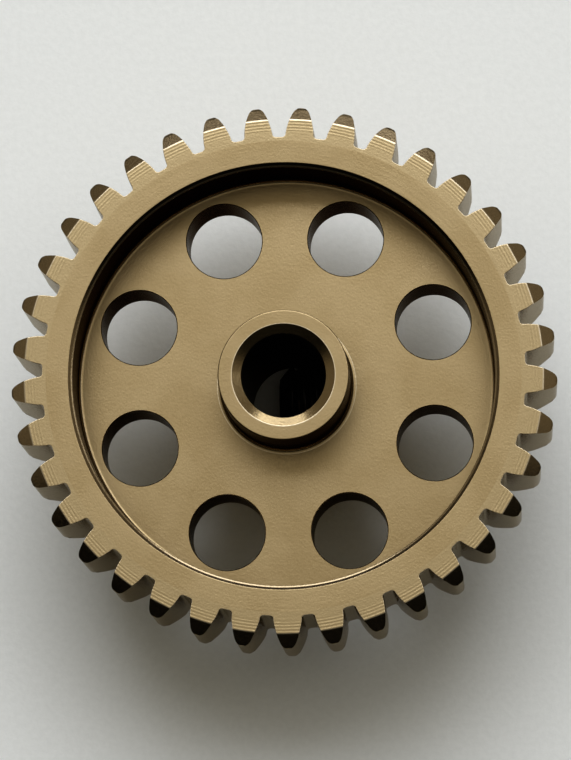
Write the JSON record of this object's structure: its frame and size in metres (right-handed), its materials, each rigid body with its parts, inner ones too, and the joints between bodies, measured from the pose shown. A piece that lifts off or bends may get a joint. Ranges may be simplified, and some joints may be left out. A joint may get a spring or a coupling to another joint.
{
  "type": "spur gear",
  "caption": "Lightened spur gear with a recessed, drilled web, a central boss and bore, and a rear hub clamped to a motor shaft by a radial set screw.",
  "frame": {"origin": "centre of the rear hub's end face, on the bore's axis", "axes": "+Z along the bore axis, from the rear hub towards the recessed front face; the set screw is on the +X side of the hub"},
  "size_m": [0.0206, 0.0206, 0.0092],
  "materials": {
    "anodised_aluminium": "satin hard anodised, bronze brown",
    "black_steel": "black oxide"
  },
  "bodies": {
    "gear": {"spur_gear": "anodised_aluminium"},
    "screw": {"set_screw": "black_steel"}
  },
  "joints": [
    {"name": "set_screw_travel", "type": "slide", "parent": "gear", "child": "screw", "axis": [1, 0, 0], "range_m": [-0.0007, 0.0032]}
  ]
}
